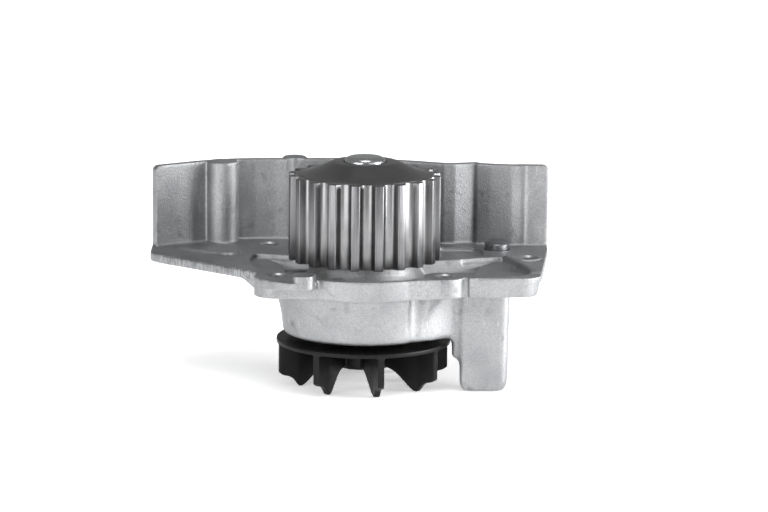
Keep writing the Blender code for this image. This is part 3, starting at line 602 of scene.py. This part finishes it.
# ---------------------------------------------------------------------------------------------------------
# Shaft. Hardened steel, ground on the bearing length with a race for each ball row, stepped down below for
# the impeller; its nose is faced off and heavily rounded where it stands out of the pulley.
# ---------------------------------------------------------------------------------------------------------
SEAT_R = 6.35
SHAFT_END = -81.0
nose = [(0, 0), (5.3, 0), (6.1, -0.1), (6.8, -0.36), (7.35, -0.75), (7.75, -1.25), (7.95, -1.8),
        (SHAFT_R, -2.4)]
shaft_profile = nose + race(BALL_ROWS["upper"], -1) + race(BALL_ROWS["lower"], -1)
shaft_profile += [(SHAFT_R, -65.2), (7.7, -65.6), (6.6, -65.6), (SEAT_R, -66.2), (SEAT_R, -66.6),
                  (SEAT_R, -80.2), (5.8, SHAFT_END), (0, SHAFT_END)]
belongs(shown("shaft_ground", turned(shaft_profile, closed=False), ground_steel), "rotor", "ground_steel",
        "shaft")


# ---------------------------------------------------------------------------------------------------------
# Pulley. Twenty teeth, pressed and sintered in steel powder, then oiled: a dished web carries the rim from
# the hub, and the tooth ends are lightly rounded. The teeth keep the die's upright drag marks; the grooves'
# floors carry a painted highlight, and the tooth sides painted shade, a darker tone that the web and hub
# share; oil darkens patches at random.
# ---------------------------------------------------------------------------------------------------------
TEETH = 20
TIP_R = 29.65
ROOT_R = 26.55
RIM_TOP = -7.0
RIM_BOTTOM = -40.0
LAND_HALF = 1.62
ROOT_HALF = 1.75
FIRST_TOOTH = math.radians(-90.0 + 11.1)
DRAG_MARK_MM = 0.45
GRIT_MM = 0.4
OIL_PATCH_MM = 9.0
sintered_steel, tree, shader, place = start_finish("oiled_sintered_steel", "#8b8b8c", 0.36, 1.0)
drag_lay = add_node(tree, "ShaderNodeMapping", {"Vector": place, "Scale": (1.0, 1.0, 0.025)})
drag = add_node(tree, "ShaderNodeTexNoise", {"Vector": drag_lay.outputs[0], "Scale": PER_MM / DRAG_MARK_MM,
                                             "Detail": 3.0, "Roughness": 0.6})
grit = add_node(tree, "ShaderNodeTexNoise", {"Vector": place, "Scale": PER_MM / GRIT_MM, "Detail": 2.0})
oil = add_node(tree, "ShaderNodeTexNoise", {"Vector": place, "Scale": PER_MM / OIL_PATCH_MM, "Detail": 3.0})
drag_share = add_node(tree, "ShaderNodeMapRange", {0: drag.outputs["Fac"], 1: 0.3, 2: 0.7})
drag_tone = add_node(tree, "ShaderNodeMix", {0: drag_share.outputs[0], 6: linear("#68686a"),
                                             7: linear("#8e8e90")}, data_type="RGBA")
# Painted highlight and painted shade: the grooves' floors are painted lighter, and the tooth sides darker, a
# tone that the web and hub share.
across = add_node(tree, "ShaderNodeMapping", {"Vector": place, "Scale": (1.0, 1.0, 0.0)})
reach = add_node(tree, "ShaderNodeVectorMath", {0: across.outputs[0]}, operation="LENGTH")
root_highlight_mask = add_node(tree, "ShaderNodeMath", {0: reach.outputs["Value"], 1: (ROOT_R + 0.1) * MM, 2: 0.4 * MM},
                  operation="COMPARE")
on_tip = add_node(tree, "ShaderNodeMapRange", {0: reach.outputs["Value"], 1: (TIP_R - 0.4) * MM,
                                               2: (TIP_R - 0.1) * MM})
flank_share = add_node(tree, "ShaderNodeMath", {0: on_tip.outputs[0], 1: root_highlight_mask.outputs[0]},
                       operation="ADD", use_clamp=True)
flank_shade_mix = add_node(tree, "ShaderNodeMix", {0: flank_share.outputs[0], 6: linear("#6c6c6d"),
                                           7: drag_tone.outputs[2]}, data_type="RGBA")
root_highlight_tone = add_node(tree, "ShaderNodeMix", {0: root_highlight_mask.outputs[0], 6: flank_shade_mix.outputs[2],
                                             7: linear("#909091")}, data_type="RGBA")
oil_share = add_node(tree, "ShaderNodeMapRange", {0: oil.outputs["Fac"], 1: 0.35, 2: 0.65, 3: 0.0, 4: 0.35})
oiled = add_node(tree, "ShaderNodeMix", {0: oil_share.outputs[0], 6: root_highlight_tone.outputs[2],
                                         7: linear("#5c5c5d")}, data_type="RGBA")
tree.links.new(oiled.outputs[2], shader.inputs["Base Color"])
oil_gloss = add_node(tree, "ShaderNodeMapRange", {0: oil.outputs["Fac"], 1: 0.3, 2: 0.7, 3: 0.4, 4: 0.3})
tree.links.new(oil_gloss.outputs[0], shader.inputs["Roughness"])
drag_bump = add_node(tree, "ShaderNodeBump", {"Height": drag.outputs["Fac"], "Strength": 0.35,
                                              "Distance": 0.04 * MM})
grit_bump = add_node(tree, "ShaderNodeBump", {"Height": grit.outputs["Fac"], "Strength": 0.3,
                                              "Distance": 0.03 * MM, "Normal": drag_bump.outputs[0]})
tree.links.new(grit_bump.outputs[0], shader.inputs["Normal"])


def toothed_rim():
    """The rim blank: a plan of lands and roots with rounded corners, drawn down, its two ends softened."""
    bm = bmesh.new()
    corners = []
    for i in range(TEETH):
        land = FIRST_TOOTH + TURN * i / TEETH
        gap = land + TURN / TEETH / 2
        for radius, middle, half in ((TIP_R, land, LAND_HALF), (ROOT_R, gap, ROOT_HALF)):
            for side in (-1, 1):
                angle = middle + side * half / radius
                corners.append(bm.verts.new((radius * MM * math.cos(angle), radius * MM * math.sin(angle),
                                             RIM_TOP * MM)))
    bm.faces.new(corners)
    lands = [v for v in corners if v.co.xy.length > (TIP_R - 0.1) * MM]
    roots = [v for v in corners if v.co.xy.length < (ROOT_R + 0.1) * MM]
    rounded(bm, roots, 1.25, "VERTICES", 5)
    rounded(bm, lands, 0.35, "VERTICES", 3)
    lowered = new_verts(bmesh.ops.extrude_face_region(bm, geom=bm.faces[:]))
    bmesh.ops.translate(bm, verts=lowered, vec=(0, 0, (RIM_BOTTOM - RIM_TOP) * MM))
    bmesh.ops.recalc_face_normals(bm, faces=bm.faces)
    ends = [e for e in bm.edges if abs(e.verts[0].co.z - e.verts[1].co.z) < 1e-7]
    rounded(bm, ends, 0.3, "EDGES", 2)
    return bm


pulley = shown("toothed_pulley", toothed_rim(), sintered_steel)
web = [(0, -2.0), (12.7, -2.0), (13.1, -2.15), (15.0, -3.0), (18.0, -4.4), (21.0, -5.65), (23.2, -6.4),
       (24.6, -6.78), (25.4, -6.9), (25.4, -9.0), (0, -9.0)]
work(pulley, turned(web, closed=False), "UNION")
hollow = [(13.0, RIM_BOTTOM - 1), (13.0, -7.4), (13.6, -6.9), (22.2, -10.9), (22.8, -11.8), (22.8, -39.4),
          (23.4, RIM_BOTTOM), (23.4, RIM_BOTTOM - 1)]
work(pulley, turned(hollow), "DIFFERENCE")
work(pulley, bar((0, 0), 14.0, RIM_BOTTOM - 1, -14.2), "DIFFERENCE")
bore = [(0, RIM_BOTTOM), (8.3, RIM_BOTTOM), (8.3, -2.5), (8.5, -2.0), (8.5, -1.0), (0, -1.0)]
work(pulley, turned(bore, closed=False), "DIFFERENCE")
crisp(pulley)
belongs(pulley, "rotor", "sintered_steel", "pulley")


# ---------------------------------------------------------------------------------------------------------
# Slinger. A small moulded rubber ring, pressed on the shaft under the bearing, that throws drips clear.
# ---------------------------------------------------------------------------------------------------------
slinger = [(8.3, -57.3), (9.2, -57.3), (9.6, -56.9), (11.2, -57.1), (11.9, -57.25), (11.75, -56.7),
           (11.2, -56.3), (9.8, -56.1), (8.3, -56.0)]
belongs(shown("shaft_slinger", turned(slinger), nitrile_rubber), "rotor", "black_rubber", "slinger")


# ---------------------------------------------------------------------------------------------------------
# Mechanical seal. A drawn brass case pressed into the housing holds a rubber bellows, a coil spring and a
# carbon face; a ceramic ring in a rubber boot turns with the shaft against it.
# ---------------------------------------------------------------------------------------------------------
DRAW_LINE_MM = 0.5
seal_brass = grained_finish("drawn_seal_brass", "#c6a562", 0.34, 1.0, DRAW_LINE_MM,
                            ("#a98745", "#dcc183"), (1.0, 1.0, 0.05), (0.25, 0.03), Detail=3.0)[0]
case = [(11.4, -58.2), (18.0, -58.2), (18.0, -68.3), (20.6, -68.3), (20.6, -69.1), (17.2, -69.1),
        (17.2, -59.0), (11.4, -59.0)]
belongs(shown("seal_case_drawn", turned(case, 128, 0.3), seal_brass), "pump_body", "seal_brass",
        "seal_case")
bellows = [(9.3, -60.4), (9.5, -59.5), (9.8, -59.3), (16.4, -59.3), (16.6, -59.5), (16.6, -60.0),
           (16.4, -60.2), (11.6, -60.2), (11.4, -60.5), (12.5, -61.6), (12.6, -61.8), (12.5, -62.0),
           (11.4, -63.1), (11.2, -63.4), (9.3, -63.4), (9.4, -63.1), (10.7, -62.0), (10.9, -61.8),
           (10.7, -61.6)]
belongs(shown("seal_bellows_moulded", turned(bellows, 128, 0.08), nitrile_rubber), "pump_body",
        "black_rubber", "seal_bellows")

SPRING_R = 14.9
SPRING_WIRE_R = 0.55
SPRING_BOTTOM = -65.4
SPRING_RISE = 4.3
SPRING_TURNS = 3.5
SPRING_STEPS = 168
spring = bmesh.new()
bmesh.ops.create_circle(spring, segments=14, radius=SPRING_WIRE_R * MM,
                        matrix=Matrix.Translation((SPRING_R * MM, 0, SPRING_BOTTOM * MM))
                        @ Matrix.Rotation(math.radians(90), 4, "X"))
bmesh.ops.spin(spring, geom=spring.verts[:] + spring.edges[:], cent=(0, 0, 0), axis=(0, 0, 1),
               dvec=(0, 0, SPRING_RISE * MM / SPRING_STEPS), angle=TURN * SPRING_TURNS, steps=SPRING_STEPS)
bmesh.ops.holes_fill(spring, edges=spring.edges, sides=14)
bmesh.ops.recalc_face_normals(spring, faces=spring.faces)
belongs(shown("seal_coil_spring", spring, ground_steel), "pump_body", "ground_steel", "seal_spring")

# Resin-bonded carbon: sooty black with a lapped sheen. Alumina ceramic: ivory white, glazed by lapping.
SOOT_MM = 0.8
MOTTLE_MM = 1.5
carbon = grained_finish("lapped_seal_carbon", "#2d2d2f", 0.36, 0.0, SOOT_MM, ("#222224", "#39393b"),
                        Detail=4.0)[0]
face = [(9.3, -63.7), (13.4, -63.7), (13.4, -65.4), (12.4, -65.5), (12.2, -66.0), (10.2, -66.0),
        (10.0, -65.6), (9.3, -65.5)]
belongs(shown("seal_face_carbon", turned(face, 128, 0.15), carbon), "pump_body", "seal_carbon",
        "seal_carbon_face")
ceramic = grained_finish("lapped_alumina_ceramic", "#e7e3d8", 0.22, 0.0, MOTTLE_MM, ("#dcd7ca", "#f0ede4"),
                         Detail=3.0)[0]
mating = [(8.6, -66.3), (14.2, -66.3), (14.2, -69.0), (8.6, -69.0)]
belongs(shown("mating_ring_ceramic", turned(mating, 128, 0.3), ceramic), "rotor", "seal_ceramic",
        "seal_mating_ring")
boot = [(6.7, -69.3), (14.5, -69.3), (14.5, -66.8), (15.4, -66.8), (15.4, -71.1), (6.7, -71.1)]
belongs(shown("mating_ring_boot", turned(boot, 128, 0.3), nitrile_rubber), "rotor", "black_rubber",
        "seal_ring_boot")


# ---------------------------------------------------------------------------------------------------------
# Impeller. One black moulding in glass-filled plastic: a flat disc with eight swept blades under it and a
# hub moulded round a turned steel bush, which is pressed on the shaft.
# ---------------------------------------------------------------------------------------------------------
DISC_TOP = -71.4
DISC_BOTTOM = -73.0
DISC_R = 34.0
HUB_R = 12.0
BUSH_R = 8.6
BLADES = 8
BLADE_HALF = 1.25
BLADE_SWEEP = math.radians(9.0)
SWEEP_FROM_R = 26.0
FIRST_BLADE = math.radians(-90.0 + 12.0)
BLADE_FOOT = [(33.6, -84.4), (32.6, -85.1), (31.6, -85.6), (30.5, -85.8), (29.4, -86.1), (28.5, -86.6),
              (27.6, -87.4), (26.9, -88.4), (26.2, -89.4), (25.7, -89.85), (25.2, -90.0), (24.6, -89.95),
              (24.0, -89.7), (22.4, -88.6), (20.9, -87.1), (19.4, -85.6), (17.9, -84.2), (16.4, -83.0),
              (14.9, -82.2), (13.4, -81.7), (10.8, -81.4)]
FIBRE_MM = 0.5
BLOOM_MM = 8.0
impeller_plastic, tree, shader, place = start_finish("glass_filled_black_plastic", "#0e0e0f", 0.46, 0.0)
shader.inputs["Specular IOR Level"].default_value = 0.2
fibre = add_node(tree, "ShaderNodeTexNoise", {"Vector": place, "Scale": PER_MM / FIBRE_MM, "Detail": 4.0,
                                              "Roughness": 0.65})
bloom = add_node(tree, "ShaderNodeTexNoise", {"Vector": place, "Scale": PER_MM / BLOOM_MM, "Detail": 3.0})
fibre_tone = add_node(tree, "ShaderNodeMix", {0: fibre.outputs["Fac"], 6: linear("#060607"),
                                              7: linear("#111112")}, data_type="RGBA")
tree.links.new(fibre_tone.outputs[2], shader.inputs["Base Color"])
bloom_gloss = add_node(tree, "ShaderNodeMapRange", {0: bloom.outputs["Fac"], 1: 0.3, 2: 0.7, 3: 0.36,
                                                    4: 0.52})
tree.links.new(bloom_gloss.outputs[0], shader.inputs["Roughness"])
fibre_bump = add_node(tree, "ShaderNodeBump", {"Height": fibre.outputs["Fac"], "Strength": 0.3,
                                               "Distance": 0.04 * MM})
tree.links.new(fibre_bump.outputs[0], shader.inputs["Normal"])


def blade(number):
    """One blade: a strip whose foot falls in a wave, thickened, swept back inwards, turned to its place."""
    bm = bmesh.new()
    root = (DISC_TOP + DISC_BOTTOM) / 2
    columns = [[bm.verts.new((r * MM, -BLADE_HALF * MM, height * MM)) for height in (root, z)]
               for r, z in BLADE_FOOT]
    strips = [bm.faces.new((a[0], b[0], b[1], a[1])) for a, b in zip(columns, columns[1:])]
    moved = new_verts(bmesh.ops.extrude_face_region(bm, geom=strips))
    bmesh.ops.translate(bm, verts=moved, vec=(0, 2 * BLADE_HALF * MM, 0))
    for vert in bm.verts:
        inward = max(0.0, (SWEEP_FROM_R * MM - vert.co.x) / ((SWEEP_FROM_R - HUB_R) * MM))
        vert.co.rotate(Matrix.Rotation(FIRST_BLADE + TURN * number / BLADES - BLADE_SWEEP * inward**1.4, 3,
                                       "Z"))
    bmesh.ops.recalc_face_normals(bm, faces=bm.faces)
    return bm


disc = [(0, DISC_TOP), (DISC_R, DISC_TOP), (DISC_R, DISC_BOTTOM), (HUB_R, DISC_BOTTOM),
        (HUB_R - 0.6, -82.4), (0, -82.4)]
impeller = shown("impeller_moulding", turned(disc, 160, closed=False), impeller_plastic)
for number in range(BLADES):
    work(impeller, blade(number), "UNION")
cast_skin(impeller, 0.38, 2, 120000)
work(impeller, turned([(0, -70.0), (BUSH_R + 0.3, -70.0), (BUSH_R + 0.3, -84.0), (0, -84.0)], 96,
                      closed=False), "DIFFERENCE")
crisp(impeller)
belongs(impeller, "rotor", "moulded_plastic", "impeller")
bush = [(6.65, -81.6), (6.65, -71.4), (8.3, -71.4), (8.6, -71.7), (8.6, -75.4), (8.3, -75.7), (8.3, -77.3),
        (8.6, -77.6), (8.6, -81.3), (8.3, -81.6)]
belongs(shown("impeller_bush_turned", turned(bush), ground_steel), "rotor", "ground_steel", "impeller_bush")


# ---------------------------------------------------------------------------------------------------------
# Studio. A white floor that glows like a light table; two large low soft lights in front, left and right, a
# stronger one out to the right, a soft box overhead, a wide even wash for the floor, and a long lens.
# ---------------------------------------------------------------------------------------------------------
floor_paint, tree, shader, place = start_finish("matt_white_floor", "#f4f4f4", 0.9, 0.0)
shader.inputs["Emission Color"].default_value = linear("#ffffff")
shader.inputs["Emission Strength"].default_value = 0.42
FLOOR_GAP = 0.05
floor_bm = bmesh.new()
bmesh.ops.create_grid(floor_bm, x_segments=1, y_segments=1, size=6.0,
                      matrix=Matrix.Translation((0, 0, (FOOT - FLOOR_GAP) * MM)))
floor = shown("floor", floor_bm, floor_paint)

world = bpy.data.worlds.new("studio")
bpy.context.scene.world = world
world.use_nodes = True
backdrop = world.node_tree.nodes["Background"]
backdrop.inputs["Color"].default_value = linear("#f6f6f6")
seen = add_node(world.node_tree, "ShaderNodeLightPath")
room = add_node(world.node_tree, "ShaderNodeMapRange", {0: seen.outputs["Is Camera Ray"], 3: 0.36, 4: 0.95})
world.node_tree.links.new(room.outputs[0], backdrop.inputs["Strength"])
LOOK_AT = Vector((0, 0, -45)) * MM
WASH_SPREAD = math.radians(60)
for name, azimuth, elevation, distance, size, watts in (
    ("key_right", 46, 12, 1.0, 0.8, 2.2), ("side_right", 80, 8, 1.0, 0.6, 16.0),
    ("fill_left", -38, 9, 1.0, 0.8, 7.0), ("soft_box", 6, 74, 1.0, 0.5, 3.0),
    ("floor_wash", 12, 66, 1.5, 0, 1.6),
):
    light = bpy.data.lights.new(name, "AREA" if size else "SUN")
    light.energy = watts
    if size:
        light.size = size
    else:
        light.angle = WASH_SPREAD
    lamp = bpy.data.objects.new(name, light)
    bpy.context.scene.collection.objects.link(lamp)
    lamp.visible_glossy = bool(size)
    a, e = math.radians(azimuth), math.radians(elevation)
    away = Vector((math.sin(a) * math.cos(e), -math.cos(a) * math.cos(e), math.sin(e)))
    lamp.location = LOOK_AT + away * distance
    lamp.rotation_euler = away.to_track_quat("Z", "Y").to_euler()

CAMERA_DISTANCE = 1.40903
CAMERA_ELEVATION = math.radians(10.709)
CAMERA_ROLL = math.radians(0.588)
CAMERA_PIVOT_Z = -40.0
LENS = 169.78
AIM = Vector((7.67, 0, -39.3)) * MM
lens = bpy.data.cameras.new("camera")
lens.lens = LENS
lens.sensor_width = 36.0
lens.clip_start, lens.clip_end = 0.05, 30.0
camera = bpy.data.objects.new("camera", lens)
bpy.context.scene.collection.objects.link(camera)
camera.location = (0, -CAMERA_DISTANCE * math.cos(CAMERA_ELEVATION),
                   CAMERA_PIVOT_Z * MM + CAMERA_DISTANCE * math.sin(CAMERA_ELEVATION))
toward = (AIM - camera.location).normalized()
camera.rotation_euler = (Matrix.Rotation(-CAMERA_ROLL, 3, toward)
                         @ toward.to_track_quat("-Z", "Y").to_matrix()).to_euler()
bpy.context.scene.camera = camera
bpy.context.scene.view_settings.view_transform = "Standard"
